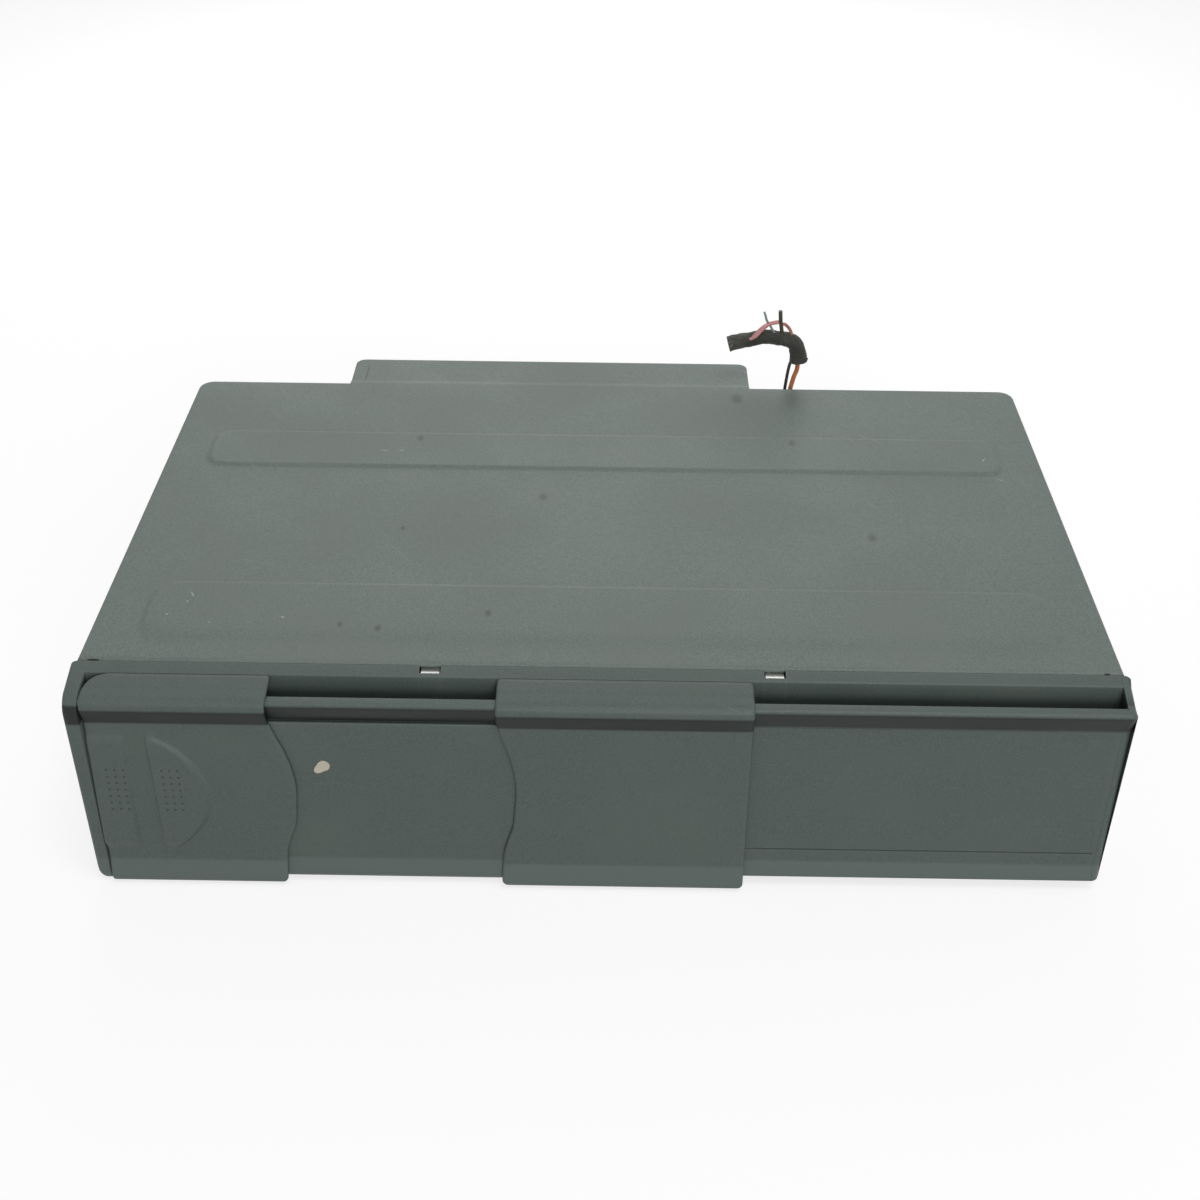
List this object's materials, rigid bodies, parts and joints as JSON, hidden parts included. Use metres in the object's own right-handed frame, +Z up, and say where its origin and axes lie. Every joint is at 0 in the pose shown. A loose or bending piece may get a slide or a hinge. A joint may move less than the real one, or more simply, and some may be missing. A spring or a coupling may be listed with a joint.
{
  "type": "car cd changer",
  "caption": "Flat car CD changer: steel case, moulded front with two telescoping sliding doors, disc magazine, and a playing deck that rides up and down beside it.",
  "frame": {"origin": "centre of the footprint, harness left out, on the surface that the case stands on", "axes": "+Z up, front with its doors towards -Y, +X to the right as seen from the front"},
  "size_m": [0.258, 0.1774, 0.0784],
  "materials": {
    "cover_paint": "grey-green satin paint with a fine sandy grain",
    "front_plastic": "dark grey-green plastic with a fine sandy grain",
    "zinc_steel": "zinc-plated steel sheet",
    "bright_steel": "bright drawn steel wire and rod",
    "black_plastic": "black moulded plastic",
    "nylon": "natural nylon",
    "board": "green solder mask",
    "rubber": "soft black rubber",
    "disc": "clear polycarbonate over a silver layer",
    "brass": "turned brass",
    "cloth_tape": "dark woven harness tape",
    "wire": "soft insulated wire"
  },
  "bodies": {
    "case": {"bottom_case": "zinc_steel", "top_cover": "cover_paint", "front_bezel": "front_plastic", "bezel_clip_left": "zinc_steel", "bezel_clip_right": "zinc_steel", "rear_housing": "cover_paint", "main_board": "board", "mech_frame": "zinc_steel", "damper_front_left": "rubber", "damper_front_right": "rubber", "damper_rear_left": "rubber", "damper_rear_right": "rubber", "suspension_spring_front_left": "bright_steel", "suspension_spring_front_right": "bright_steel", "suspension_spring_rear_left": "bright_steel", "suspension_spring_rear_right": "bright_steel", "magazine_guide": "zinc_steel", "lift_motor": "zinc_steel", "side_screw_left": "zinc_steel", "side_screw_right": "zinc_steel", "rear_screw_left": "zinc_steel", "rear_screw_right": "zinc_steel", "rear_socket": "black_plastic", "harness_plug": "black_plastic", "harness_bundle": "cloth_tape", "harness_wires": "wire"},
    "inner_door": {"inner_door": "front_plastic"},
    "outer_door": {"outer_door": "front_plastic"},
    "magazine": {"magazine": "black_plastic", "disc_tray_1": "black_plastic", "disc_tray_2": "black_plastic", "disc_tray_3": "black_plastic", "disc_tray_4": "black_plastic", "disc_tray_5": "black_plastic", "disc_tray_6": "black_plastic", "disc_1": "disc", "disc_2": "disc", "disc_3": "disc", "disc_4": "disc", "disc_5": "disc", "disc_6": "disc"},
    "eject_lever": {"eject_lever": "zinc_steel"},
    "eject_button": {"eject_button": "black_plastic"},
    "latch_lever": {"latch_lever": "zinc_steel"},
    "deck": {"deck_plate": "zinc_steel", "spindle_motor": "zinc_steel", "clamp_pin": "bright_steel", "sled_rod": "bright_steel", "sled_motor": "zinc_steel"},
    "lift_slider": {"lift_slider": "zinc_steel"},
    "lift_gear": {"lift_gear": "nylon"},
    "lift_worm": {"lift_worm": "brass"},
    "turntable": {"turntable": "black_plastic"},
    "clamp_arm": {"clamp_arm": "zinc_steel"},
    "clamper": {"clamper": "nylon"},
    "pickup_sled": {"pickup_sled": "black_plastic"},
    "lead_screw": {"lead_screw": "bright_steel"},
    "sled_pinion": {"sled_pinion": "nylon"},
    "angle_dial_left": {"angle_dial_left": "black_plastic"},
    "angle_dial_right": {"angle_dial_right": "black_plastic"}
  },
  "joints": [
    {"name": "inner_door_slide", "type": "slide", "parent": "case", "child": "inner_door", "axis": [1, 0, 0], "range_m": [0, 0.087]},
    {"name": "outer_door_slide", "type": "slide", "parent": "inner_door", "child": "outer_door", "axis": [1, 0, 0], "range_m": [0, 0.0532]},
    {"name": "magazine_slide", "type": "slide", "parent": "case", "child": "magazine", "axis": [0, -1, 0], "range_m": [0, 0.0115]},
    {"name": "eject_lever_turn", "type": "hinge", "parent": "case", "child": "eject_lever", "pos_m": [-0.1, 0.04465, 0.012], "axis": [0, 0, 1], "range_deg": [-16, 0]},
    {"name": "button_push", "type": "slide", "parent": "case", "child": "eject_button", "axis": [0, 1, 0], "range_m": [0, 0.0022], "stiffness_N_per_m": 300, "springref_m": -0.0005},
    {"name": "latch_turn", "type": "hinge", "parent": "case", "child": "latch_lever", "pos_m": [0.0185, -0.05585, 0.0205], "axis": [0, 0, 1], "range_deg": [-18, 0]},
    {"name": "deck_lift", "type": "slide", "parent": "case", "child": "deck", "axis": [0, 0, 1], "range_m": [0, 0.0255]},
    {"name": "slider_move", "type": "slide", "parent": "case", "child": "lift_slider", "axis": [1, 0, 0], "range_m": [0, 0.0256]},
    {"name": "lift_gear_turn", "type": "hinge", "parent": "case", "child": "lift_gear", "pos_m": [0.066, -0.04215, 0.0101], "axis": [0, 0, 1], "range_deg": [0, 203]},
    {"name": "lift_worm_turn", "type": "hinge", "parent": "case", "child": "lift_worm", "pos_m": [0.0751, -0.04215, 0.0101], "axis": [0, 1, 0], "range_deg": [-4871, 0]},
    {"name": "turntable_spin", "type": "hinge", "parent": "deck", "child": "turntable", "pos_m": [0.064, -0.00535, 0.0199], "axis": [0, 0, 1], "continuous": true},
    {"name": "clamp_close", "type": "hinge", "parent": "deck", "child": "clamp_arm", "pos_m": [0.064, 0.05965, 0.0152], "axis": [1, 0, 0], "range_deg": [0, 2]},
    {"name": "clamper_spin", "type": "hinge", "parent": "clamp_arm", "child": "clamper", "pos_m": [0.064, -0.00535, 0.025], "axis": [0, 0, 1], "continuous": true},
    {"name": "sled_move", "type": "slide", "parent": "deck", "child": "pickup_sled", "axis": [0, 1, 0], "range_m": [0, 0.034]},
    {"name": "lead_screw_turn", "type": "hinge", "parent": "deck", "child": "lead_screw", "pos_m": [0.08, 0.00435, 0.0151], "axis": [0, 1, 0], "range_deg": [-4081, 0]},
    {"name": "sled_pinion_turn", "type": "hinge", "parent": "deck", "child": "sled_pinion", "pos_m": [0.08529, 0.00245, 0.0132], "axis": [0, 1, 0], "range_deg": [0, 7254]},
    {"name": "angle_dial_left_turn", "type": "hinge", "parent": "case", "child": "angle_dial_left", "pos_m": [-0.1269, -0.03335, 0.027], "axis": [1, 0, 0], "range_deg": [0, 90]},
    {"name": "angle_dial_right_turn", "type": "hinge", "parent": "case", "child": "angle_dial_right", "pos_m": [0.1269, -0.03335, 0.027], "axis": [1, 0, 0], "range_deg": [0, 90]}
  ],
  "couplings": [
    {"joint": "eject_lever_turn", "follows": "magazine_slide", "rad_per_m": -23.9},
    {"joint": "latch_turn", "follows": "button_push", "rad_per_m": -139.5},
    {"joint": "slider_move", "follows": "deck_lift", "ratio": 1},
    {"joint": "lift_gear_turn", "follows": "deck_lift", "rad_per_m": 138.89},
    {"joint": "lift_worm_turn", "follows": "deck_lift", "rad_per_m": -3333.3},
    {"joint": "clamper_spin", "follows": "turntable_spin", "ratio": 1},
    {"joint": "lead_screw_turn", "follows": "sled_move", "rad_per_m": -2094.4},
    {"joint": "sled_pinion_turn", "follows": "sled_move", "rad_per_m": 3723.4}
  ]
}
